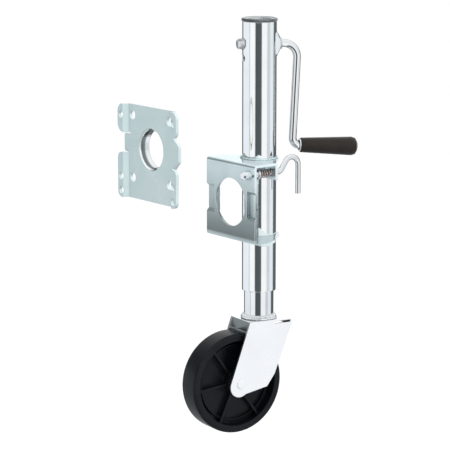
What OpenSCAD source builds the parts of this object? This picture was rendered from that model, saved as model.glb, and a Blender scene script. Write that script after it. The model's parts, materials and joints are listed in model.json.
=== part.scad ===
// Trailer tongue jack: a side-wind screw jack with a swivelling 6 inch wheel,
// on a swing bracket that pivots on a bolt-on mounting plate.
// Origin: on the tube axis, level with the pivot hole in the swing bracket.
// +Z is up, -Y faces the trailer frame, +X runs along the frame.

/* [Outer tube] */
// Outside diameter of the outer tube
tube_od = 50.8; // [50:0.2:51.6]
// Wall thickness of the outer tube
tube_wall = 2.5; // [2.1:0.1:2.5]
// Height of the outer tube's top edge above the pivot
tube_top = 265; // [262:1:272]
// Depth of the outer tube's bottom edge below the pivot
tube_drop = 139; // [125:1:150]
// How far the pressed gear bump stands out of the tube
bump_out = 5.5; // [5:0.1:7]

/* [Inner tube] */
// Outside diameter of the inner tube
ram_od = 44.4; // [43.6:0.1:44.6]
// Wall thickness of the inner tube
ram_wall = 2.5; // [2:0.1:3]
// Depth of the inner tube's bottom edge below the pivot, wound up
ram_drop = 179; // [175:1:190]

/* [Lifting screw] */
// Lead of the lifting screw's thread
screw_lead = 6.35; // [6:0.05:6.5]
// Outside radius of the lifting screw
screw_r = 9.5; // [9:0.1:10]

/* [Crank] */
// Diameter of the crank rod
rod_d = 11.5; // [11:0.1:12]
// Height of the crank shaft above the pivot
shaft_z = 231; // [229:1:234]
// Direction the crank shaft points, from +X towards +Y
crank_azimuth = 65; // [45:1:90]
// Distance from the shaft axis down to the grip axis
crank_throw = 153; // [130:1:165]
// Length of the hand grip
grip_length = 87; // [80:1:100]

/* [Swing bracket] */
// Half the width of the bracket's web
web_half = 58; // [57:0.5:60]
// Distance from the tube axis to the web's front face
web_front = 54; // [53:0.5:56]
// Height of the web's top above the pivot
web_top = 61; // [60.5:0.1:61]
// Depth of the web's bottom below the pivot
web_drop = 57; // [55:1:60]
// Thickness of the bracket's sheet
sheet = 4; // [3.5:0.1:4]
// Radius of the pivot hole in the web
pivot_r = 36; // [35.8:0.1:36.2]

/* [Lock pin] */
// Offset of the lock pin from the pivot, both sideways and up
pin_offset = 45.5; // [45:0.1:46]
// Radius of the lock pin
pin_r = 6.3; // [6:0.05:6.3]

/* [Mounting plate] */
// How far the plate is shown in front of its seat
plate_out = 137; // [100:1:180]
// How far the plate is shown above its seat
plate_up = 91; // [85:1:100]
// Thickness of the plate's sheet
plate_t = 4.5; // [4:0.1:5]
// Step between the plate's middle and its bolting ears
joggle = 8; // [7.5:0.1:9]

/* [Wheel] */
// Radius of the wheel's tread
wheel_r = 76.2; // [74:0.1:76.5]
// Width of the wheel
wheel_w = 38; // [36:0.5:38]
// Depth of the axle below the pivot
axle_drop = 275; // [274.5:0.1:277]
// Distance the axle trails behind the swivel axis
trail = 48; // [46:1:50]
// Swivel angle of the caster as drawn
caster_angle = 6; // [-30:1:30]

/* [Hidden] */
$fn = 64;

// Running clearance between a shaft and its hole
run = 0.05;
// Small gap between pieces that only pass each other
gap = 0.1;

tube_r = tube_od / 2;
tube_in = tube_r - tube_wall;
ram_r = ram_od / 2;
ram_in = ram_r - ram_wall;
rod_r = rod_d / 2;

// Bevel gears: the pitch cones meet where the shaft crosses the tube axis
gear_teeth = 18;
pinion_teeth = 12;
gear_pitch_r = 18;
pinion_pitch_r = 12;
gear_face = 5;
tooth_w = 2.6;
gear_z = shaft_z - pinion_pitch_r;
gear_hub_h = 9;

// Stack under the screw gear, from the top down
plate_top = gear_z - gear_hub_h - 1;
bearing_plate_t = 6;
race_t = 2;
ball_r = 2.5;
ball_ring_r = 13;
ball_count = 12;
upper_race_z = plate_top - bearing_plate_t - race_t;
ball_z = upper_race_z - ball_r - run;
lower_race_z = ball_z - ball_r - run - race_t;
collar_h = 6;
thread_top = lower_race_z - collar_h;
thread_bottom = -104;
journal_r = 6;
thread_depth = 1.8;

ram_top = thread_top - 2;
nut_h = 20;

// Crank rod path
upper_bend = 21;
lower_bend = 11;
arm_reach = 57;
arm_lean = 2.8;
shaft_end = 34;
arm_len = (crank_throw - upper_bend * (1 + sin(arm_lean))
    - lower_bend * (1 + sin(arm_lean))) / cos(arm_lean);
grip_droop = 3;
lower_angle = 90 + arm_lean - grip_droop;
bend_end_x = arm_reach - upper_bend + upper_bend * cos(arm_lean) - arm_len * sin(arm_lean)
    - lower_bend * sin(lower_angle) * sin(arm_lean)
    + lower_bend * (1 - cos(lower_angle)) * cos(arm_lean);
bend_end_z = -upper_bend * (1 + sin(arm_lean)) - arm_len * cos(arm_lean)
    - lower_bend * sin(lower_angle) * cos(arm_lean)
    - lower_bend * (1 - cos(lower_angle)) * sin(arm_lean);
grip_start = 0.9;

// Bracket
tail_r = 30;
bend_r = 5;

// Caster
yoke_t = 3;
yoke_in = 24.5;
yoke_out = yoke_in + yoke_t;
cup_h = 3;
yoke_top = -ram_drop - cup_h - 0.2;
yoke_front = 32;
yoke_back = -42;
skirt_drop = 16;
king_r = 8;
axle_r = 6;

// Mounting plate, seated position of its back face
plate_back = -web_front - 1.4;
collar_in = 28;
collar_out = 32;
collar_depth = 17;
bush_out = pivot_r - 0.4;
ear_bolt_r = 5.25;
ear_bolt_x = 64;
ear_bolt_z = 45;
ear_bolt_low = 66;
lock_hole_r = pin_r + 0.5;

// ---------- helpers ----------

// Ring or washer standing on z = 0
module ring(inner, outer, height) {
    difference() {
        cylinder(r = outer, h = height);
        translate([0, 0, -1]) cylinder(r = inner, h = height + 2);
    }
}

// Turns a shape that stands along +Z so that it points along +X
module along_x() {
    rotate([0, 90, 0]) children();
}

// Turns a shape that stands along +Z so that it points along +Y
module along_y() {
    rotate([-90, 0, 0]) children();
}

// Puts a shape drawn with its shaft along +X onto the crank shaft
module on_shaft() {
    translate([0, 0, shaft_z]) rotate([0, 0, crank_azimuth]) children();
}

// Quarter or other part of a ring, from the origin along +X, turning to +Z
module elbow(r, bend_r, angle) {
    rotate([90, 0, 0]) translate([0, bend_r, 0]) rotate([0, 0, -90])
        rotate_extrude(angle = angle) translate([bend_r, 0]) circle(r);
}

// Bent rod along a list of [length, 0] lines and [radius, angle] bends.
// Lines run a little way into the bends, which are a hair thicker.
module bent_rod(r, path, i = 0) {
    overlap = 0.5;
    if (i < len(path)) {
        size = path[i][0];
        angle = path[i][1];
        if (angle == 0) {
            before = i == 0 ? 0 : overlap;
            after = i == len(path) - 1 ? 0 : overlap;
            translate([-before, 0, 0]) along_x() cylinder(r = r, h = size + before + after);
            translate([size, 0, 0]) bent_rod(r, path, i + 1);
        } else {
            if (angle > 0) elbow(r + 0.02, size, angle);
            else mirror([0, 0, 1]) elbow(r + 0.02, size, -angle);
            side = sign(angle);
            translate([size * sin(abs(angle)), 0, side * size * (1 - cos(angle))])
                rotate([0, -angle, 0]) bent_rod(r, path, i + 1);
        }
    }
}

// Corner points of a straight-flanked gear outline
function gear_points(teeth, pitch_r, addendum, dedendum) = [
    for (i = [0 : teeth - 1], corner = [[-1, 0], [-1, 1], [1, 1], [1, 0]])
        let (
            tip = corner[1] == 1,
            r = tip ? pitch_r + addendum : pitch_r - dedendum,
            half = tooth_w / 2 + (tip ? -addendum : dedendum) * tan(20),
            a = 360 * i / teeth + corner[0] * asin(half / r)
        )
        [r * cos(a), r * sin(a)]
];

// ---------- jack body ----------

// Outside or inside of the tube's pressed bump, around the shaft axis
module bump_form(radius, out, flat, bump_r) {
    slope = 9.5 / 5.5;
    far = radius + out;
    inside = radius - 2;
    side = 52;
    intersection() {
        // straight sides that run into the tube
        translate([0, 0, -bump_r - 1]) linear_extrude(2 * bump_r + 2) polygon([
            [0, 0], [inside * cos(side), inside * sin(side)], [far, flat],
            [far, -flat], [inside * cos(side), -inside * sin(side)]
        ]);
        along_x() translate([0, 0, 10])
            cylinder(r1 = flat + (far - 10) * slope, r2 = flat, h = far - 10);
        along_x() cylinder(r = bump_r, h = far + 1);
    }
}

module outer_tube() {
    color("silver") difference() {
        union() {
            translate([0, 0, -tube_drop]) cylinder(r = tube_r, h = tube_top + tube_drop);
            on_shaft() bump_form(tube_r, bump_out, 9, 20);
        }
        translate([0, 0, -tube_drop - 1]) cylinder(r = tube_in, h = tube_top + tube_drop + 2);
        on_shaft() bump_form(tube_in, bump_out, 9 - tube_wall, 20 - tube_wall);
        // shaft bushes
        on_shaft() translate([-tube_r - 10, 0, 0]) along_x() cylinder(r = 7.6, h = 30);
        on_shaft() along_x() cylinder(r = 8.5, h = 50);
        // grease hole below the shaft's inner end
        translate([0, 0, 210]) rotate([0, 0, crank_azimuth + 189])
            along_x() translate([0, 0, 15]) cylinder(r = 4.2, h = 20);
    }
}

module top_cap() {
    lip = 2.6;
    color("lightslategray") translate([0, 0, tube_top]) difference() {
        union() {
            // rolled lip over the tube's edge
            rotate_extrude() {
                translate([tube_r - 1, 1.4]) circle(1.4 + lip / 2);
                translate([tube_r - 8, 0.1]) square([7, 2.8]);
            }
            translate([0, 0, -10]) ring(tube_in - 1.8, tube_in, 10.2);
            translate([0, 0, -0.6]) cylinder(r = tube_r - 7, h = 1.8);
        }
        translate([0, 0, -20]) ring(tube_in - run, tube_r + gap, 20);
    }
}

module bearing_plate() {
    color("gray") translate([0, 0, plate_top - bearing_plate_t])
        ring(journal_r + run, tube_in, bearing_plate_t);
}

module crank_bush_inner() {
    color("darkgoldenrod") on_shaft() {
        translate([-27, 0, 0]) along_x() ring(rod_r + run, 7.6, 8);
        translate([-27.6, 0, 0]) along_x() ring(rod_r + run, 8.4, 1.2);
    }
}

module crank_bush_outer() {
    color("darkgoldenrod") on_shaft() {
        translate([25.5, 0, 0]) along_x() ring(rod_r + run, 8.5, 7);
        translate([tube_r + bump_out, 0, 0]) along_x() ring(rod_r + run, 9, 1.8);
    }
}

// Top flange: deep on the pin's side, then tapering to the tube
module top_outline() {
    difference() {
        union() {
            polygon([
                [-web_half, -web_front], [web_half, -web_front], [web_half, -11],
                [tail_r, 8], [-tail_r, 4], [-web_half, -web_front + 31]
            ]);
            circle(tail_r);
        }
        circle(tube_r);
    }
}

// Bottom flange: a rounded lobe beside the web, then tapering to the tube
module bottom_outline() {
    lobe_r = 8;
    difference() {
        union() {
            polygon([
                [-web_half, -web_front], [web_half + lobe_r, -web_front],
                [web_half + 2 * lobe_r, -web_front + lobe_r],
                [web_half + 1.6 * lobe_r, -36], [web_half - 1, -14], [tail_r, 8],
                [-tail_r, 4], [-web_half, -web_front + 6]
            ]);
            translate([web_half + lobe_r, -web_front + lobe_r]) circle(lobe_r);
            circle(tail_r);
        }
        circle(tube_r);
    }
}

// Waste outside the rounded bend between the web and a flange
module bend_waste() {
    translate([-web_half - 30, -web_front, 0]) rotate([90, 0, 90])
        linear_extrude(2 * web_half + 60) difference() {
            translate([-1, -bend_r]) square([bend_r + 1, bend_r + 1]);
            translate([bend_r, -bend_r]) circle(bend_r);
        }
}

// One side pocket of the web: the band is pressed back by one sheet thickness
module pocket_cut(x0, x1) {
    half_h = 21;
    slope = 4;
    translate([x0, -web_front, 0]) rotate([90, 0, 90]) linear_extrude(x1 - x0)
        polygon([[-1, -half_h - slope], [0, -half_h], [sheet, -half_h + slope],
            [sheet, half_h - slope], [0, half_h], [-1, half_h + slope]]);
}

module pocket_back(x0, x1) {
    half_h = 21;
    slope = 4;
    translate([x0, -web_front, 0]) rotate([90, 0, 90]) linear_extrude(x1 - x0)
        polygon([[0, -half_h - slope], [2 * sheet, -half_h + slope / 2],
            [2 * sheet, half_h - slope / 2], [0, half_h + slope]]);
}

module swing_bracket() {
    pocket_x = 39.5;
    tab_y = -15;
    tab_h = 25;
    color("lightsteelblue") difference() {
        union() {
            // web
            translate([-web_half, -web_front, -web_drop])
                cube([2 * web_half, sheet, web_drop + web_top]);
            // top and bottom flanges
            translate([0, 0, web_top - sheet]) linear_extrude(sheet) top_outline();
            translate([0, 0, -web_drop]) linear_extrude(sheet) bottom_outline();
            // tab that guides the lock pin's tail
            translate([pin_offset - 12, tab_y, web_top - tab_h])
                cube([web_half - pin_offset + 12, sheet, tab_h - sheet / 2]);
            // backs of the pressed side pockets
            pocket_back(pocket_x - sheet, web_half - 7);
            mirror([1, 0, 0]) pocket_back(pocket_x - sheet, web_half);
        }
        // pockets, pressed in from the front
        pocket_cut(pocket_x, web_half + 1);
        mirror([1, 0, 0]) pocket_cut(pocket_x, web_half + 1);
        // rounded bends along the web's top and bottom
        translate([0, 0, web_top]) bend_waste();
        mirror([0, 0, 1]) translate([0, 0, web_drop]) bend_waste();
        // pivot hole
        translate([0, -web_front - 1, 0]) along_y() cylinder(r = pivot_r, h = 20);
        // lock pin's holes in the web and the tab
        translate([pin_offset, -web_front - 1, pin_offset]) along_y()
            cylinder(r = pin_r + 0.1, h = sheet + 2);
        translate([pin_offset, tab_y - 1, pin_offset]) along_y()
            cylinder(r = 4.1, h = sheet + 2);
        // room for the tube
        translate([0, 0, -web_drop - 1]) cylinder(r = tube_r, h = web_drop + web_top + 2);
    }
}

// ---------- lock pin ----------

module lock_pin() {
    tip = 13;
    neck_y = -41;
    color("gainsboro") translate([pin_offset, 0, pin_offset]) {
        translate([0, -web_front - tip + 2, 0]) along_y()
            cylinder(r = pin_r, h = neck_y + web_front + tip - 2);
        translate([0, -web_front - tip, 0]) along_y()
            cylinder(r1 = pin_r - 2, r2 = pin_r, h = 2);
        // tail, thumb loop and finger end
        translate([0, neck_y - 1, 0]) rotate([0, 0, 90])
            bent_rod(4, [[-neck_y, 0], [9, 55], [13, 0], [13, -145], [43, 0]]);
    }
}

module pin_collar() {
    color("silver") translate([pin_offset, -41, pin_offset]) along_y() ring(4, 8.2, 2.4);
}

// Closed tube of wire around a helix that rises along +Z
module coil(radius, wire_r, length, turns) {
    per_turn = 16;
    sides = 8;
    n = turns * per_turn;
    points = [
        for (i = [0 : n], k = [0 : sides - 1])
            let (
                a = 360 * i / per_turn,
                b = 360 * k / sides,
                r = radius + wire_r * cos(b)
            )
            [r * cos(a), r * sin(a), length * i / n + wire_r * sin(b)]
    ];
    skin = [
        for (i = [0 : n - 1], k = [0 : sides - 1])
            let (a = i * sides, k2 = (k + 1) % sides)
            [a + k, a + sides + k, a + sides + k2, a + k2]
    ];
    ends = [
        [for (k = [0 : sides - 1]) k],
        [for (k = [0 : sides - 1]) n * sides + sides - 1 - k]
    ];
    polyhedron(points, concat(skin, ends));
}

module pin_spring() {
    wire = 0.9;
    start = -41 + 2.4 + gap + wire;
    stop = -15 - gap - wire;
    color("rosybrown") translate([pin_offset, start, pin_offset]) along_y()
        coil(5.6, wire, stop - start, 5);
}

// ---------- crank ----------

module crank_handle() {
    grip_line = grip_length - 4;
    color("gainsboro") on_shaft() translate([-shaft_end, 0, 0])
        bent_rod(rod_r, [
            [shaft_end + arm_reach - upper_bend, 0],
            [upper_bend, -90 - arm_lean],
            [arm_len, 0],
            [lower_bend, lower_angle],
            [grip_line, 0]
        ]);
}

module at_grip() {
    on_shaft() translate([bend_end_x, 0, bend_end_z]) rotate([0, grip_droop, 0])
        translate([grip_start, 0, 0]) along_x() children();
}

module hand_grip() {
    bore = rod_r + 0.1;
    color("black") at_grip() difference() {
        rotate_extrude() polygon([
            [0, 0], [10, 0], [10.9, 1], [11.1, 4], [14, grip_length - 8],
            [12.5, grip_length - 3], [8, grip_length], [0, grip_length]
        ]);
        translate([0, 0, -1]) cylinder(r = bore, h = grip_length - 2);
        translate([0, 0, -1]) cylinder(r1 = bore + 3.5, r2 = bore, h = 9);
    }
}

module grip_washer() {
    color("silver") at_grip() translate([0, 0, -1.6]) difference() {
        cylinder(r = 9.4, h = 1.4);
        translate([0, 0, -1]) cylinder(r = rod_r + 2, h = 4);
    }
}

module crank_washer() {
    color("silver") on_shaft() translate([-29.2, 0, 0]) along_x() ring(rod_r, 7.7, 1.5);
}

module crank_nut() {
    color("silver") on_shaft() translate([-33.2, 0, 0]) along_x() difference() {
        cylinder(r = 7.9, h = 4, $fn = 6);
        translate([0, 0, -1]) cylinder(r = rod_r, h = 6);
    }
}

module pinion_gear() {
    large = gear_pitch_r;
    color("dimgray") on_shaft() difference() {
        union() {
            translate([large, 0, 0]) rotate([0, -90, 0]) rotate([0, 0, 180 / pinion_teeth])
                linear_extrude(gear_face, scale = 1 - gear_face / large)
                    polygon(gear_points(pinion_teeth, pinion_pitch_r, 1.4, 1.7));
            translate([large - 0.01, 0, 0]) along_x() cylinder(r = 8.8, h = 6);
        }
        along_x() cylinder(r = rod_r, h = 40);
        // cross hole for the pin
        translate([large + 3, 0, -20]) cylinder(r = 1.5, h = 40);
    }
}

module pinion_pin() {
    pin_end = 8.7;
    color("silver") on_shaft() translate([gear_pitch_r + 3, 0, 0]) {
        translate([0, 0, rod_r]) cylinder(r = 1.5, h = pin_end - rod_r);
        translate([0, 0, -pin_end]) cylinder(r = 1.5, h = pin_end - rod_r);
    }
}

// ---------- screw ----------

module screw_gear() {
    color("dimgray") translate([0, 0, gear_z]) rotate([0, 0, crank_azimuth]) difference() {
        union() {
            linear_extrude(gear_face, scale = 1 - gear_face / pinion_pitch_r)
                polygon(gear_points(gear_teeth, gear_pitch_r, 1.5, 2.1));
            translate([0, 0, -gear_hub_h]) cylinder(r = 16, h = gear_hub_h + 0.01);
        }
        translate([0, 0, -20]) cylinder(r = journal_r, h = 40);
        // cross hole for the pin
        translate([-30, 0, -gear_hub_h / 2]) along_x() cylinder(r = 1.5, h = 60);
    }
}

module gear_pin() {
    color("silver") translate([0, 0, gear_z - gear_hub_h / 2]) rotate([0, 0, crank_azimuth]) {
        translate([journal_r, 0, 0]) along_x() cylinder(r = 1.5, h = 9);
        translate([-journal_r - 9, 0, 0]) along_x() cylinder(r = 1.5, h = 9);
    }
}

module lift_screw() {
    ridges = floor((thread_top - thread_bottom - 4) / screw_lead);
    core = screw_r - thread_depth;
    half = screw_lead / 2;
    crest = 0.18 * screw_lead;
    color("darkgray") {
        translate([0, 0, thread_top]) cylinder(r = journal_r, h = gear_z + 4 - thread_top);
        translate([0, 0, thread_top]) cylinder(r = 14, h = collar_h);
        rotate_extrude() polygon(concat(
            [[0, thread_top], [0, thread_bottom], [core, thread_bottom]],
            [for (i = [0 : ridges - 1], p = [[core, -crest - 1.2], [screw_r, -crest],
                [screw_r, crest], [core, crest + 1.2]])
                [p[0], thread_bottom + half + i * screw_lead + p[1]]],
            [[core, thread_top]]
        ));
    }
}

module thrust_race_upper() {
    color("silver") translate([0, 0, upper_race_z]) ring(journal_r + 0.5, 18, race_t);
}

module thrust_balls() {
    color("white") for (i = [0 : ball_count - 1])
        rotate([0, 0, 360 * i / ball_count]) translate([ball_ring_r, 0, ball_z])
            sphere(ball_r, $fn = 32);
}

module ball_cage() {
    color("peru") difference() {
        translate([0, 0, ball_z - 0.8]) ring(9, 17.5, 1.6);
        for (i = [0 : ball_count - 1])
            rotate([0, 0, 360 * i / ball_count])
                translate([ball_ring_r, 0, ball_z - 5]) cylinder(r = ball_r + 0.1, h = 10);
    }
}

module thrust_race_lower() {
    color("silver") translate([0, 0, lower_race_z]) ring(journal_r, 18, race_t);
}

// ---------- ram ----------

module inner_tube() {
    color("silver") translate([0, 0, -ram_drop]) ring(ram_in, ram_r, ram_top + ram_drop);
}

module lift_nut() {
    color("goldenrod") translate([0, 0, ram_top - 2 - nut_h]) ring(screw_r + run, ram_in, nut_h);
}

module ram_plug() {
    color("gray") translate([0, 0, -ram_drop]) ring(king_r, ram_in, 12);
}

module swivel_cup() {
    cup_r = 27;
    edge = 1.2;
    color("silver") translate([0, 0, -ram_drop - cup_h]) difference() {
        rotate_extrude() {
            square([cup_r - edge, cup_h]);
            translate([0, edge]) square([cup_r, cup_h - 2 * edge]);
            translate([cup_r - edge, edge]) circle(edge);
            translate([cup_r - edge, cup_h - edge]) circle(edge);
        }
        translate([0, 0, -1]) cylinder(r = king_r, h = cup_h + 2);
    }
}

module kingpin() {
    head = 4;
    shank_bottom = yoke_top - yoke_t - 0.2;
    color("gray") {
        translate([0, 0, shank_bottom]) cylinder(r = king_r, h = -ram_drop + 14 - shank_bottom);
        translate([0, 0, shank_bottom - head]) cylinder(r1 = 10, r2 = 13, h = head);
        translate([0, 0, -ram_drop + 12]) cylinder(r = 11, h = 3);
    }
}

// ---------- caster ----------

// Local frame: +X along the wheel's axle, -Y towards the trailing wheel
module on_caster() {
    rotate([0, 0, -caster_angle]) children();
}

module at_axle() {
    on_caster() translate([0, -trail, -axle_drop]) along_x() children();
}

// Side plate outline in the plane of travel, x towards the wheel, y up
module yoke_side() {
    corner_r = 16;
    corner = [trail + 2, -axle_drop - 3];
    notch = 6.5;
    union() {
        polygon([
            [yoke_back, yoke_top - notch], [-12, yoke_top - notch], [-6, yoke_top],
            [yoke_front, yoke_top], [corner[0] + corner_r, corner[1] + 3],
            [corner[0] + 5, corner[1] - corner_r + 0.8], [2, -axle_drop - 8.5],
            [-11.5, -axle_drop + 9.5]
        ]);
        translate(corner) circle(corner_r);
    }
}

module caster_yoke() {
    color("whitesmoke") on_caster() difference() {
        union() {
            for (x = [-yoke_out, yoke_in])
                translate([x + yoke_t, 0, 0]) rotate([90, 0, -90])
                    linear_extrude(yoke_t) yoke_side();
            // top plate
            translate([-yoke_out, -yoke_front, yoke_top - yoke_t])
                cube([2 * yoke_out, yoke_front - yoke_back, yoke_t]);
            // front skirt and shorter back skirt
            translate([-yoke_out, -yoke_front, yoke_top - skirt_drop])
                cube([2 * yoke_out, yoke_t, skirt_drop]);
            translate([-yoke_out, -yoke_back - yoke_t, yoke_top - 11])
                cube([2 * yoke_out, yoke_t, 11]);
        }
        translate([0, 0, yoke_top - yoke_t - 1]) cylinder(r = king_r + run, h = yoke_t + 2);
        translate([-yoke_out - 1, -trail, -axle_drop]) along_x()
            cylinder(r = axle_r, h = 2 * yoke_out + 2);
    }
}

module wheel_axle() {
    color("silver") at_axle() {
        translate([0, 0, -yoke_out - 7]) cylinder(r = axle_r, h = 2 * yoke_out + 7);
        translate([0, 0, yoke_out]) cylinder(r1 = 7, r2 = 6, h = 1.2);
    }
}

module axle_nut() {
    color("silver") at_axle() translate([0, 0, -yoke_out - 6]) difference() {
        cylinder(r = 10.4, h = 6, $fn = 6);
        translate([0, 0, -1]) cylinder(r = axle_r, h = 8);
    }
}

module axle_washers() {
    thick = yoke_in - wheel_w / 2 - 1 - gap;
    color("silver") at_axle() {
        translate([0, 0, yoke_in - thick]) ring(axle_r, 11, thick);
        translate([0, 0, -yoke_in]) ring(axle_r, 11, thick);
    }
}

module wheel() {
    half = wheel_w / 2;
    shoulder = 4.5;
    rim_in = 65;
    ring_r = 56.5;
    web_t = 3;
    hub_r = 17;
    rib_h = 12;
    ribs = 6;
    color("#1c1c1e") at_axle() difference() {
        union() {
            rotate_extrude() {
                // tread ring with rounded shoulders
                translate([rim_in, -half]) square([wheel_r - shoulder - rim_in, wheel_w]);
                translate([rim_in, -half + shoulder])
                    square([wheel_r - rim_in, wheel_w - 2 * shoulder]);
                for (side = [-1, 1])
                    translate([wheel_r - shoulder, side * (half - shoulder)]) circle(shoulder);
                // web and hub
                translate([hub_r - 1, -web_t]) square([rim_in - hub_r + 2, 2 * web_t]);
                translate([8, -half - 1]) square([hub_r - 8, wheel_w + 2]);
                // stiffening ring across the ribs
                translate([ring_r, -9]) square([2, 18]);
            }
            for (i = [0 : ribs - 1])
                rotate([0, 0, 360 * i / ribs + 96]) translate([hub_r - 1, -2, -rib_h])
                    cube([rim_in - hub_r + 2, 4, 2 * rib_h]);
        }
        translate([0, 0, -half - 2]) cylinder(r = 8, h = wheel_w + 4);
    }
}

module wheel_bush() {
    color("silver") at_axle() translate([0, 0, -wheel_w / 2 - 1])
        ring(axle_r + run, 8, wheel_w + 2);
}

// ---------- mounting plate ----------

// Moves a seated piece to where the loose plate is shown
module shown_apart() {
    translate([0, -plate_out, plate_up]) children();
}

// Square with rounded corners, from one corner to the opposite one
module rounded(low, high, r) {
    size = high - low;
    translate(low + [r, 0]) square([size[0] - 2 * r, size[1]]);
    translate(low + [0, r]) square([size[0], size[1] - 2 * r]);
    for (x = [low[0] + r, high[0] - r], y = [low[1] + r, high[1] - r])
        translate([x, y]) circle(r);
}

// Outline of the plate seen from the trailer frame, x along the frame, y up
module plate_outline() {
    rounded([-54, -76], [54, 61], 6);
    rounded([-72, 20], [-30, 61], 12);
    rounded([-72, -76], [-30, -10], 9);
    rounded([30, 24], [72, 61], 9);
    rounded([30, -76], [72, -20], 9);
    rounded([-60, -30], [0, 30], 5);
    rounded([0, -12], [66, 16], 8);
}

// Section across the frame direction: flat middle with ears stepped forward
module plate_section() {
    inner = 53.5;
    outer = 58;
    wide = 80;
    polygon([
        [-wide, -joggle], [-outer, -joggle], [-inner, 0], [inner, 0], [outer, -joggle],
        [wide, -joggle], [wide, -joggle - plate_t], [outer + 1.5, -joggle - plate_t],
        [inner + 1.5, -plate_t], [-inner - 1.5, -plate_t],
        [-outer - 1.5, -joggle - plate_t], [-wide, -joggle - plate_t]
    ]);
}

// Flat middle of the plate between the ears, without the step
module plate_middle() {
    rounded([-66, -9], [0, 17], 4);
    polygon([[0, 30], [44, 30], [66, 13], [67, 11], [67, -10], [66, -12], [44, -34], [0, -34]]);
}

module mount_plate() {
    depth = 40;
    color("lightsteelblue") shown_apart() translate([0, plate_back, 0]) difference() {
        union() {
            intersection() {
                translate([0, 0, -100]) linear_extrude(200) plate_section();
                rotate([90, 0, 0]) translate([0, 0, -10]) linear_extrude(depth) difference() {
                    plate_outline();
                    translate([50, -12]) square([40, 30]);
                    translate([-90, -9]) square([40, 28]);
                }
            }
            // mid tabs stay in the plane of the middle
            rotate([90, 0, 0]) linear_extrude(plate_t) plate_middle();
            // drawn collar that turns in the bracket
            translate([0, -plate_t, 0]) along_y() cylinder(r = collar_out, h = collar_depth);
        }
        translate([0, -depth / 2, 0]) along_y() cylinder(r = collar_in, h = depth + 10);
        // lead-in of the collar's mouth
        translate([0, -plate_t - gap, 0]) along_y()
            cylinder(r1 = collar_in + 2.5, r2 = collar_in, h = 3);
        // holes for the lock pin, a quarter turn apart
        for (x = [-1, 1], z = [-1, 1])
            translate([x * pin_offset, -depth / 2, z * pin_offset]) along_y()
                cylinder(r = lock_hole_r, h = depth);
        // bolt holes in the ears
        for (x = [-1, 1], z = [ear_bolt_z, -ear_bolt_z, -ear_bolt_low])
            translate([x * ear_bolt_x, -depth / 2, z]) along_y()
                cylinder(r = ear_bolt_r, h = depth);
    }
}

module pivot_bush() {
    color("ivory") shown_apart() translate([0, plate_back + gap, 0]) along_y()
        ring(collar_out + run, bush_out, 9);
}

module pivot_washer() {
    color("ivory") shown_apart() translate([0, -web_front - 1.3, 0]) along_y()
        ring(bush_out + gap, 42, 1.2);
}

// ---------- the parts ----------

outer_tube();
top_cap();
swing_bracket();
bearing_plate();
crank_bush_inner();
crank_bush_outer();
lock_pin();
pin_collar();
pin_spring();
crank_handle();
hand_grip();
grip_washer();
crank_washer();
crank_nut();
pinion_gear();
pinion_pin();
screw_gear();
gear_pin();
lift_screw();
thrust_race_upper();
thrust_balls();
ball_cage();
thrust_race_lower();
inner_tube();
lift_nut();
ram_plug();
swivel_cup();
kingpin();
caster_yoke();
wheel_axle();
axle_nut();
axle_washers();
wheel();
wheel_bush();
mount_plate();
pivot_bush();
pivot_washer();
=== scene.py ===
"""Looks for the trailer jack: procedural materials, small made pieces, floor, light and camera."""

import json
import math
import random

import bpy
from mathutils import Matrix, Vector


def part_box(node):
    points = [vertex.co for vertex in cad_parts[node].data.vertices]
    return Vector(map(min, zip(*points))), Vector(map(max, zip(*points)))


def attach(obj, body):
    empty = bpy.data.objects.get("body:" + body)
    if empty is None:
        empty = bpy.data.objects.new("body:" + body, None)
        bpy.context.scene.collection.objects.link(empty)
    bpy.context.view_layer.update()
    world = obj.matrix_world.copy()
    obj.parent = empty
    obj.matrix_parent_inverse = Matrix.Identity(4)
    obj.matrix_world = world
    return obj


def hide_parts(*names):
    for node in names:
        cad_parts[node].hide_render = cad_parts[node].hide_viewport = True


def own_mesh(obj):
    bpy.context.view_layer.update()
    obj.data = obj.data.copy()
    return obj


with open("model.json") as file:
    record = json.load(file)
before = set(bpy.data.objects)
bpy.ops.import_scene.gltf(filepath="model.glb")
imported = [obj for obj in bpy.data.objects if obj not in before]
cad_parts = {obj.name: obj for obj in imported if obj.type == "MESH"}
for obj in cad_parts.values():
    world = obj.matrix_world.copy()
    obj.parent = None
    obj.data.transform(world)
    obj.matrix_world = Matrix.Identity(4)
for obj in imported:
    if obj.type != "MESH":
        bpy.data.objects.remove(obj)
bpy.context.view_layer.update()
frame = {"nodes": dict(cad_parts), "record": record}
nodes = frame["nodes"]
rng = random.Random(41)

MM = 0.001
UP = Vector((0, 0, 1))
TUBE_RADIUS = 25.4 * MM
STROKE = 254 * MM  # how far the ram comes out

# the view: its azimuth and downward tilt, the lens, and where it stands
CAMERA_AZIMUTH = math.radians(52.75)
CAMERA_PITCH = math.radians(10.75)
CAMERA_LENS_MM = 173.8
CAMERA_SENSOR_MM = 36
CAMERA_BACK = 3.1928
CAMERA_LEFT = 0.0508
CAMERA_HEIGHT = 0.565
RIGHT = Vector((math.cos(CAMERA_AZIMUTH), math.sin(CAMERA_AZIMUTH), 0))
AHEAD = Vector((-math.sin(CAMERA_AZIMUTH), math.cos(CAMERA_AZIMUTH), 0))


def grey(value):
    return (value,) * 3


# ---------- node helpers ----------


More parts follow.
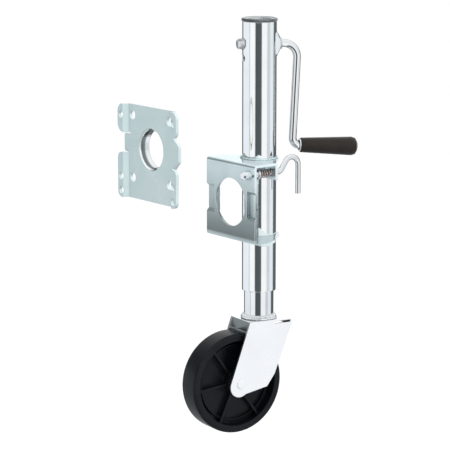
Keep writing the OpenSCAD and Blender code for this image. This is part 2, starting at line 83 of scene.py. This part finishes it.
class Graph:
    """A node tree being built, with short names for the nodes it uses."""

    def __init__(self, tree):
        self.tree = tree

    def add(self, kind, **values):
        node = self.tree.nodes.new(kind)
        for key, value in values.items():
            setattr(node, key, value)
        return node

    def plug(self, value, socket):
        """Gives a socket a link, a number, a vector or a colour."""
        if isinstance(value, bpy.types.NodeSocket):
            self.tree.links.new(value, socket)
        elif socket.type == "RGBA" and len(value) == 3:
            socket.default_value = (*value, 1)
        else:
            socket.default_value = value

    def maths(self, kind, a, b):
        node = self.add("ShaderNodeMath", operation=kind)
        self.plug(a, node.inputs[0])
        self.plug(b, node.inputs[1])
        return node.outputs[0]

    def product(self, a, b):
        return self.maths("MULTIPLY", a, b)

    def half(self, value):
        """A value from -1 to 1 mapped to 0 to 1."""
        return self.maths("ADD", self.product(value, 0.5), 0.5)

    def vectors(self, kind, a, b):
        node = self.add("ShaderNodeVectorMath", operation=kind)
        self.plug(a, node.inputs[0])
        self.plug(b, node.inputs[1])
        return node.outputs["Value" if kind == "DOT_PRODUCT" else "Vector"]

    def level(self, value, low, high, start=0.3, end=0.7):
        """Value between start and end mapped to low and high."""
        node = self.add("ShaderNodeMapRange")
        node.inputs["From Min"].default_value = start
        node.inputs["From Max"].default_value = end
        node.inputs["To Min"].default_value = low
        node.inputs["To Max"].default_value = high
        self.plug(value, node.inputs["Value"])
        return node.outputs["Result"]

    def ramp(self, value, stops):
        node = self.add("ShaderNodeValToRGB")
        points = node.color_ramp.elements
        while len(points) < len(stops):
            points.new(0.5)
        for point, (position, colour) in zip(points, stops):
            point.position = position
            point.color = (*colour, 1)
        self.plug(value, node.inputs["Fac"])
        return node.outputs["Color"]

    def mix(self, fac, a, b, blend="MIX"):
        node = self.add("ShaderNodeMix", data_type="RGBA", blend_type=blend)
        fac_socket, a_socket, b_socket = (node.inputs[i] for i in (0, 6, 7))
        self.plug(fac, fac_socket)
        self.plug(a, a_socket)
        self.plug(b, b_socket)
        return node.outputs[2]


class Mat(Graph):
    """A node material; every pattern sits in the shared frame's metres."""

    def __init__(self, name):
        self.mat = bpy.data.materials.new(name)
        self.mat.use_nodes = True
        super().__init__(self.mat.node_tree)
        self.bsdf = self.tree.nodes["Principled BSDF"]
        self.place = self.add("ShaderNodeTexCoord").outputs["Object"]

    def set(self, **values):
        for key, value in values.items():
            self.plug(value, self.bsdf.inputs[key.replace("_", " ")])

    def stretch(self, scale):
        """Object coordinates scaled by a vector."""
        node = self.add("ShaderNodeMapping")
        node.inputs["Scale"].default_value = scale
        self.plug(self.place, node.inputs["Vector"])
        return node.outputs["Vector"]

    def noise(self, scale, detail, rough, vector=None, warp=0.0):
        node = self.add("ShaderNodeTexNoise")
        node.inputs["Scale"].default_value = scale
        node.inputs["Detail"].default_value = detail
        node.inputs["Roughness"].default_value = rough
        node.inputs["Distortion"].default_value = warp
        self.plug(vector or self.place, node.inputs["Vector"])
        return node.outputs["Fac"]

    def cells(self, scale):
        node = self.add("ShaderNodeTexVoronoi")
        node.inputs["Scale"].default_value = scale
        self.plug(self.place, node.inputs["Vector"])
        return node.outputs["Distance"]

    def bump(self, height, strength, distance, after=None):
        node = self.add("ShaderNodeBump")
        node.inputs["Strength"].default_value = strength
        node.inputs["Distance"].default_value = distance
        self.plug(height, node.inputs["Height"])
        if after is not None:
            self.plug(after, node.inputs["Normal"])
        self.plug(node.outputs["Normal"], self.bsdf.inputs["Normal"])
        return node.outputs["Normal"]

    def rounded(self, radius):
        """Normal that rounds sharp edges, and a mask that is 1 on them."""
        bevel = self.add("ShaderNodeBevel", samples=6)
        bevel.inputs["Radius"].default_value = radius
        soft = bevel.outputs["Normal"]
        flat = self.add("ShaderNodeNewGeometry").outputs["Normal"]
        return soft, self.level(self.vectors("DOT_PRODUCT", soft, flat), 1, 0, 0.72, 0.93)

    def from_axis(self, scale=(1, 1, 0), centre=(0, 0, 0)):
        """Distance from an axis through the centre; the scale flattens along the axis."""
        flat = self.vectors("MULTIPLY", self.vectors("SUBTRACT", self.place, centre), scale)
        node = self.add("ShaderNodeVectorMath", operation="LENGTH")
        self.plug(flat, node.inputs[0])
        return node.outputs["Value"]

    def along(self, axis):
        """One coordinate of the point in the shared frame, X, Y or Z."""
        node = self.add("ShaderNodeSeparateXYZ")
        self.plug(self.place, node.inputs[0])
        return node.outputs[axis]

    def facing(self, direction):
        """1 where the surface faces a direction, 0 from about 30 degrees off it."""
        flat = self.add("ShaderNodeNewGeometry").outputs["Normal"]
        return self.level(self.vectors("DOT_PRODUCT", flat, direction), 0, 1, 0.87, 0.97)

    def crevice(self, distance):
        """1 in the open, less in corners and near other pieces."""
        node = self.add("ShaderNodeAmbientOcclusion", samples=6)
        node.inputs["Distance"].default_value = distance
        return node.outputs["AO"]


# ---------- materials ----------


def plated_tube(name, tint, haze, fold=None):
    """Mirror plating with faint drawing marks along the tube and hazy scratches.

    fold is the radius that the reflections see on pressed edges.
    """
    m = Mat(name)
    streak = m.noise(1.0, 5, 0.6, m.stretch((260, 260, 6)))
    cloud = m.noise(22, 5, 0.6, warp=0.6)
    colour = m.ramp(cloud, [(0.3, [c * 0.93 for c in tint]), (0.7, tint)])
    m.set(Base_Color=colour, Metallic=1.0, Roughness=m.level(streak, 0, haze, 0.72, 0.9))
    soft = m.rounded(fold)[0] if fold else None
    first = m.bump(m.noise(14, 2, 0.4, m.stretch((1, 1, 0.35))), 0.10, 2 * MM, soft)
    m.bump(streak, 0.04, 0.2 * MM, first)
    return m.mat


def zinc_sheet(name, low, high, rough, grain=1.0, fade=None, hub=None, polish_and_skirt_shade=None):
    """Zinc plate over rolled sheet: faint clouds, fine pits, rolling lines, painted edge
    highlights.

    fade is (lowest, highest, darkest) for painted shade that darkens the sheet downwards, with
    painted highlights at the very bottom and top; hub is the centre and the front and back of a
    drawn collar whose bore gets painted shade and a painted highlight ring at its mouth; polish is
    the height above which the sheet is burnished, and its front skirt gets painted shade.
    """
    # the white of the painted highlights on the edges and round the collar's mouth
    bright = (0.95, 0.97, 0.98)
    m = Mat(name)
    cloud = m.noise(16, 4, 0.5, warp=0.5)
    fine = m.noise(900, 3, 0.6)
    roll = m.noise(1.0, 4, 0.6, m.stretch((30, 30, 900)))
    base = m.ramp(cloud, [(0.32, low), (0.68, high)])
    flecks = m.ramp(fine, [(0.62, grey(0)), (0.74, grey(1))])
    tinted = m.mix(0.035, base, flecks, "ADD")
    if fade:
        lowest, highest, darkest = fade
        # painted shade that darkens the sheet towards the bottom, with painted highlights at the
        # very bottom and top
        shade = m.ramp(m.level(m.along("Z"), 0, 1, lowest, highest),
                       [(0.0, grey(1.1)), (0.03, grey(1.0)), (0.07, grey(darkest)),
                        (0.55, grey(0.80)), (0.85, grey(1.06)), (1.0, grey(1.1))])
        tinted = m.mix(1.0, tinted, shade, "MULTIPLY")
    # painted shade in corners and next to other pieces
    corners = m.ramp(m.crevice(9 * MM), [(0.25, (0.42, 0.45, 0.46)), (0.85, grey(1))])
    tinted = m.mix(1.0, tinted, corners, "MULTIPLY")
    soft, edges = m.rounded(0.8 * MM)
    # painted highlight along every sharp edge
    colour_with_painted_light = m.mix(edges, tinted, bright)
    sheen = m.level(cloud, rough, rough + 0.06)
    if hub:
        centre, front, back = hub
        outside = m.level(m.from_axis((1, 0, 1), centre), 0, 1, 28.6 * MM, 30 * MM)
        depth = m.level(m.along("Y"), 0, 1, front, back)
        # painted light on the collar's bore: a painted highlight ring at its mouth, painted shade
        # inside, paler towards the back
        bore = m.ramp(depth, [(0.12, bright), (0.2, (0.16, 0.18, 0.18)),
                              (0.5, (0.24, 0.26, 0.26)), (0.62, (0.85, 0.88, 0.89))])
        colour_with_painted_light = m.mix(outside, bore, colour_with_painted_light)
        sheen = m.product(outside, sheen)
    if polish_and_skirt_shade:
        # painted shade on the front skirt, picked out by the way it faces
        skirt = (-0.1045, -0.9945, 0)  # the way the front skirt faces
        colour_with_painted_light = m.mix(m.facing(skirt), colour_with_painted_light, (0.26, 0.29, 0.29))
        sheen = m.product(sheen, m.level(m.along("Z"), 1, 0.3, polish_and_skirt_shade - MM, polish_and_skirt_shade))
    m.set(Base_Color=colour_with_painted_light, Metallic=0.92, Roughness=sheen)
    sag = m.bump(m.noise(9, 1, 0.4), 0.12 * grain, 3 * MM, soft)
    first = m.bump(roll, 0.04 * grain, 0.2 * MM, sag)
    m.bump(fine, 0.04 * grain, 0.1 * MM, first)
    return m.mat


def pressed_cap(name):
    """Cap with a dark rolled rim and a paler dish."""
    m = Mat(name)
    stain = m.noise(90, 5, 0.6, warp=0.5)
    rim = m.ramp(stain, [(0.3, (0.10, 0.11, 0.12)), (0.7, (0.20, 0.21, 0.22))])
    dish = m.ramp(stain, [(0.3, (0.52, 0.56, 0.57)), (0.7, (0.66, 0.70, 0.71))])
    where = m.level(m.from_axis(), 0, 1, 22 * MM, 23.5 * MM)
    m.set(Base_Color=m.mix(where, dish, rim), Metallic=0.9, Roughness=m.level(stain, 0.2, 0.32))
    m.bump(m.noise(700, 3, 0.6), 0.06, 0.1 * MM)
    return m.mat


def turned_metal(name, tint, rough):
    """Hardware steel, brass or bronze: fine turning marks and light stains."""
    m = Mat(name)
    stain = m.noise(120, 5, 0.6, warp=0.4)
    lines = m.noise(1.0, 2, 0.5, m.stretch((1400, 1400, 1400)))
    colour = m.ramp(stain, [(0.25, [c * 0.78 for c in tint]), (0.7, tint)])
    m.set(Base_Color=colour, Metallic=1.0, Roughness=m.level(stain, rough, rough + 0.12))
    m.bump(lines, 0.08, 0.1 * MM)
    return m.mat


def gear_iron(name):
    """Sintered iron with a skin of brown grease in the low spots."""
    m = Mat(name)
    pits = m.noise(700, 4, 0.7)
    film = m.noise(60, 5, 0.6, warp=1.0)
    colour = m.mix(m.level(film, 0, 1), (0.13, 0.13, 0.135), (0.10, 0.065, 0.03))
    m.set(Base_Color=colour, Metallic=0.8, Roughness=m.level(film, 0.55, 0.25))
    m.bump(pits, 0.25, 0.15 * MM)
    return m.mat


def nylon(name):
    """Natural nylon, slightly see-through at the edges."""
    m = Mat(name)
    cloud = m.noise(90, 4, 0.6)
    colour = m.ramp(cloud, [(0.3, (0.66, 0.66, 0.62)), (0.7, (0.78, 0.78, 0.75))])
    m.set(Base_Color=colour, Roughness=0.42, Subsurface_Weight=0.15, Subsurface_Scale=2 * MM)
    m.bump(m.noise(600, 3, 0.6), 0.08, 0.1 * MM)
    return m.mat


def grip_rubber(name):
    """Brown-black moulded grip with a fine grain and a dusty bloom."""
    m = Mat(name)
    bloom = m.noise(55, 5, 0.62, warp=0.7)
    grain = m.noise(1500, 2, 0.6)
    colour = m.ramp(bloom, [(0.3, (0.007, 0.005, 0.004)), (0.75, (0.018, 0.013, 0.010))])
    m.set(Base_Color=colour, Roughness=m.level(bloom, 0.34, 0.46), Specular_IOR_Level=0.28)
    m.bump(grain, 0.06, 0.1 * MM)
    return m.mat


def wheel_plastic(name):
    """Black moulded plastic: satin, finely pebbled, with paler scuffs."""
    m = Mat(name)
    scuff = m.noise(30, 6, 0.65, warp=0.9)
    pebble = m.cells(1100)
    colour = m.ramp(scuff, [(0.35, (0.0022, 0.0030, 0.0045)), (0.8, (0.007, 0.009, 0.013))])
    m.set(Base_Color=colour, Roughness=m.level(scuff, 0.28, 0.4), Specular_IOR_Level=0.17)
    first = m.bump(pebble, 0.05, 0.1 * MM)
    m.bump(m.noise(18, 3, 0.5), 0.10, MM, first)
    return m.mat


def spring_wire(name):
    """Drawn wire with a warm passivated tint."""
    m = Mat(name)
    cloud = m.noise(200, 4, 0.6)
    colour = m.ramp(cloud, [(0.3, (0.36, 0.27, 0.24)), (0.7, (0.60, 0.50, 0.46))])
    m.set(Base_Color=colour, Metallic=1.0, Roughness=0.28)
    m.bump(m.noise(1200, 2, 0.5), 0.10, 0.1 * MM)
    return m.mat


def web_span():
    """Lowest and highest point of the bracket, and how dark the painted shade on its lower part
    gets.
    """
    low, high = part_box("swing_bracket")
    return low.z, high.z, 0.34


def hub_centre():
    """Centre of the plate's collar, from the bush that runs on it, and its front and back."""
    low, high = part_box("pivot_bush")
    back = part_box("mount_plate")[1].y
    return tuple((low + high) / 2), back - 17 * MM, back


def yoke_top():
    """Height of the yoke's upper face, less half a millimetre."""
    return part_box("caster_yoke")[1].z - 0.5 * MM


def all_materials():
    """One material for each slot in the record."""
    bracket = {"fade": web_span()}
    plate = {"hub": hub_centre()}
    yoke = {"grain": 0.5, "polish_and_skirt_shade": yoke_top()}
    slots = [
        (plated_tube, "tube_plate", (0.90, 0.92, 0.93), 0.08, 3 * MM),
        (plated_tube, "ram_plate", (0.84, 0.86, 0.88), 0.10),
        (plated_tube, "rod_plate", (0.88, 0.89, 0.90), 0.12),
        (pressed_cap, "cap_plate"),
        (zinc_sheet, "zinc_sheet", (0.60, 0.71, 0.73), (0.72, 0.82, 0.84), 0.20, bracket),
        (zinc_sheet, "plate_zinc", (0.58, 0.71, 0.72), (0.70, 0.81, 0.82), 0.22, plate),
        (zinc_sheet, "yoke_zinc", (0.88, 0.90, 0.93), (0.93, 0.95, 0.97), 0.24, yoke),
        (turned_metal, "bright_hardware", (0.72, 0.74, 0.76), 0.18),
        (spring_wire, "spring_wire"),
        (turned_metal, "inner_steel", (0.40, 0.41, 0.43), 0.30),
        (gear_iron, "gear_iron"),
        (turned_metal, "screw_steel", (0.45, 0.45, 0.46), 0.24),
        (turned_metal, "race_steel", (0.70, 0.71, 0.73), 0.12),
        (turned_metal, "bush_bronze", (0.62, 0.43, 0.22), 0.25),
        (turned_metal, "cage_brass", (0.74, 0.56, 0.28), 0.22),
        (turned_metal, "bush_steel", (0.60, 0.61, 0.63), 0.22),
        (nylon, "bush_nylon"),
        (grip_rubber, "grip_rubber"),
        (wheel_plastic, "wheel_plastic"),
    ]
    made = {}
    for build, slot, *rest in slots:
        options = rest.pop() if rest and isinstance(rest[-1], dict) else {}
        made[slot] = build(slot, *rest, **options)
    return made


def dress_nodes(materials):
    """Gives each CAD node the material of its slot in the record."""
    for row in frame["record"]["subparts"]:
        data = nodes[row["node"]].data
        data.materials.clear()
        data.materials.append(materials[row["material_slot"]])


def soften(name, width, angle=35):
    """Rounds a CAD node's sharp edges with modifiers, which leave its own mesh alone."""
    obj = nodes[name]
    weld = obj.modifiers.new("join", "WELD")
    weld.merge_threshold = 0.004 * MM
    bevel = obj.modifiers.new("edges", "BEVEL")
    bevel.width = width
    bevel.segments = 3
    bevel.limit_method = "ANGLE"
    bevel.angle_limit = math.radians(angle)
    bevel.harden_normals = True
    bevel.use_clamp_overlap = True


# ---------- made pieces ----------


def make_piece(name, points, faces, materials, slot, body):
    mesh = bpy.data.meshes.new(name)
    mesh.from_pydata(points, [], faces)
    mesh.validate()
    mesh.update()
    mesh.shade_smooth()
    mesh.set_sharp_from_angle(angle=math.radians(80))
    obj = bpy.data.objects.new(name, mesh)
    bpy.context.scene.collection.objects.link(obj)
    mesh.materials.append(materials[slot])
    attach(obj, body)


def closed_sweep(path, sides=10):
    """Points and faces of a closed round loop: each path entry gives a centre, a direction
    away from the axis and a radius."""
    points, faces = [], []
    for centre, out, size in path:
        for k in range(sides):
            turn = 2 * math.pi * k / sides
            points.append(centre + out * (math.cos(turn) * size) + UP * (math.sin(turn) * size))
    rings = len(path)
    for i in range(rings):
        j = (i + 1) % rings
        for k in range(sides):
            n = (k + 1) % sides
            faces.append((i * sides + k, j * sides + k, j * sides + n, i * sides + n))
    return points, faces


def weld_bead(name, materials, radius, height, bead, slot, body):
    """A run of overlapping weld ripples all round a tube."""
    path = []
    steps = 324
    for i in range(steps):
        angle = math.radians(360 * i / steps)
        out = Vector((math.cos(angle), math.sin(angle), 0))
        ripple = 1 + 0.16 * math.sin(i * 1.9) + rng.uniform(-0.07, 0.07)
        spot = out * (radius + rng.uniform(-0.2, 0.2) * MM) + UP * height
        path.append((spot, out, bead * ripple))
    points, faces = closed_sweep(path)
    make_piece(name, points, faces, materials, slot, body)


def all_welds(materials):
    """Fillet welds where the tube passes the bracket's flanges and meets the swivel cup."""
    low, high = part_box("swing_bracket")
    around = TUBE_RADIUS + 0.8 * MM
    weld_bead("weld_top", materials, around, high.z + 0.3 * MM, 1.9 * MM,
              "zinc_sheet", "jack_body")
    weld_bead("weld_bottom", materials, around, low.z - 0.3 * MM, 1.7 * MM,
              "zinc_sheet", "jack_body")
    ram_low, ram_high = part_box("inner_tube")
    cup_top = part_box("swivel_cup")[1].z
    weld_bead("weld_cup", materials, (ram_high.x - ram_low.x) / 2 + MM, cup_top + MM, 2.4 * MM,
              "rod_plate", "ram")


def pin_coil():
    """The lock pin's spring, as its own mesh on the jack body, with the CAD spring hidden."""
    coil = bpy.data.objects.new("pin_coil", nodes["pin_spring"].data.copy())
    bpy.context.scene.collection.objects.link(coil)
    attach(coil, "jack_body")
    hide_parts("pin_spring")
    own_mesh(coil)


# ---------- stage ----------


def make_floor():
    """The floor lies a full stroke below the wheel, so no pose reaches through it."""
    size = 70
    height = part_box("wheel")[0].z - STROKE - MM
    bpy.ops.mesh.primitive_plane_add(size=size, location=(0, 0, height))
    floor = bpy.context.object
    floor.name = "floor"
    m = Mat("floor_paper")
    m.set(Base_Color=m.ramp(m.noise(3, 3, 0.5), [(0.3, grey(0.93)), (0.7, grey(0.95))]))
    m.set(Roughness=0.9, Emission_Color=grey(1), Emission_Strength=0.06)
    floor.data.materials.append(m.mat)
    floor.visible_glossy = False


WHITE = grey(1.05)
COOL = (0.90, 0.95, 1.0)
EDGE = (0.30, 0.33, 0.34)

# what mirrors see round the horizon: a colour at each bearing in degrees, where 0 is behind
# the camera and 90 is to its right
BANDS = [
    (-180, EDGE), (-176, (0.12, 0.14, 0.15)), (-141, (0.14, 0.16, 0.17)),
    (-136, COOL), (-74, (0.92, 0.97, 1.0)), (-70, (0.42, 0.44, 0.50)),
    (-66, WHITE), (-31, WHITE),
    (-27, (0.085, 0.10, 0.105)), (13, (0.105, 0.12, 0.125)),
    (17, WHITE), (50, WHITE),
    (56, (0.66, 0.69, 0.71)), (74, (0.72, 0.75, 0.77)),
    (82, (0.90, 0.95, 0.98)), (107, (0.86, 0.91, 0.94)),
    (112, (0.12, 0.14, 0.15)), (176, (0.10, 0.12, 0.13)), (180, EDGE),
]


def mirror_tent(g, dot, height):
    """What mirrors see: white tent walls with dark flags, and a plain roof above them."""
    angle = g.maths("ARCTAN2", dot(RIGHT), dot(-AHEAD))
    turn = g.maths("ADD", g.maths("DIVIDE", angle, 2 * math.pi), 0.5)
    walls = g.ramp(turn, [(degrees / 360 + 0.5, colour) for degrees, colour in BANDS])
    roof = g.ramp(g.half(height),
                  [(0.50, (0.62, 0.70, 0.72)), (0.62, (0.86, 0.90, 0.92)), (1.0, grey(1))])
    # the flags stand taller behind the jack, so bent rods get dark outlines on top too
    above = g.maths("SUBTRACT", height, g.level(dot(AHEAD), 0, 0.32, 0.3, 0.7))
    return g.mix(g.level(above, 0, 1, 0.02, 0.14), walls, roof)


def soft_tent(g, dot, height):
    """What rougher metal sees: a softer tent, brighter on the right and overhead."""
    side = g.ramp(g.half(dot(RIGHT)),
                  [(0.0, (0.78, 0.80, 0.81)), (0.35, (0.92, 0.94, 0.95)),
                   (0.6, grey(1.12)), (1.0, grey(1.15))])
    rise = g.ramp(g.half(height),
                  [(0.0, (0.55, 0.56, 0.58)), (0.36, (0.80, 0.81, 0.82)),
                   (0.44, (0.97, 0.97, 0.98)), (0.6, grey(1.08)), (1.0, grey(1.2))])
    # a low dark flag on the left draws a line along rounded bends
    flag = g.product(g.level(height, 0, 1, 0.08, 0.16), g.level(height, 1, 0, 0.55, 0.7))
    flag = g.product(flag, g.level(dot(RIGHT), 0.85, 0, -0.6, -0.2))
    return g.mix(flag, g.mix(1.0, side, rise, "MULTIPLY"), (0.10, 0.12, 0.12))


def make_world():
    """White studio for the camera and matt surfaces; metal sees the tents instead."""
    world = bpy.data.worlds.new("studio")
    bpy.context.scene.world = world
    world.use_nodes = True
    g = Graph(world.node_tree)
    g.tree.nodes.clear()
    ray = g.add("ShaderNodeTexCoord").outputs["Generated"]

    def dot(axis):
        return g.vectors("DOT_PRODUCT", ray, axis)

    height = dot(UP)
    path = g.add("ShaderNodeLightPath")
    glossy = path.outputs["Is Glossy Ray"]
    mirror = g.product(glossy, path.outputs["Is Singular Ray"])
    seen = g.mix(glossy, grey(1), soft_tent(g, dot, height))
    seen = g.mix(mirror, seen, mirror_tent(g, dot, height))
    light = g.add("ShaderNodeBackground")
    g.plug(seen, light.inputs["Color"])
    g.plug(light.outputs[0], g.add("ShaderNodeOutputWorld").inputs["Surface"])


def softbox(name, spot, size, power):
    """A soft lamp aimed at the middle of the jack."""
    middle = Vector((0, -0.05, 0))
    data = bpy.data.lights.new(name, "AREA")
    data.shape = "RECTANGLE"
    data.size, data.size_y = size
    data.energy = power
    lamp = bpy.data.objects.new(name, data)
    bpy.context.scene.collection.objects.link(lamp)
    lamp.location = spot
    lamp.rotation_mode = "QUATERNION"
    lamp.rotation_quaternion = (middle - spot).to_track_quat("-Z", "Y")
    lamp.visible_glossy = False
    lamp.visible_camera = False


def make_lights():
    softbox("key", -RIGHT * 1.3 - AHEAD * 1.2 + UP * 1.5, (1.4, 1.0), 12)
    softbox("fill", RIGHT * 1.5 - AHEAD * 0.9 + UP * 0.8, (1.2, 1.2), 7)


def make_camera():
    data = bpy.data.cameras.new("camera")
    data.sensor_width = CAMERA_SENSOR_MM
    data.lens = CAMERA_LENS_MM
    data.clip_start, data.clip_end = 0.1, 120
    camera = bpy.data.objects.new("camera", data)
    bpy.context.scene.collection.objects.link(camera)
    look = AHEAD * math.cos(CAMERA_PITCH) - UP * math.sin(CAMERA_PITCH)
    spot = -AHEAD * CAMERA_BACK - RIGHT * CAMERA_LEFT + UP * CAMERA_HEIGHT
    turn = Matrix((RIGHT, RIGHT.cross(look), -look)).transposed()
    camera.matrix_world = Matrix.Translation(spot) @ turn.to_4x4()
    bpy.context.scene.camera = camera


def main():
    materials = all_materials()
    dress_nodes(materials)
    nodes["mount_plate"].visible_glossy = False
    soften("wheel", 0.8 * MM, 40)
    soften("crank_nut", 0.5 * MM)
    soften("axle_nut", 0.5 * MM)
    all_welds(materials)
    pin_coil()
    make_floor()
    make_world()
    make_lights()
    make_camera()
    bpy.context.scene.view_settings.view_transform = "Standard"


main()
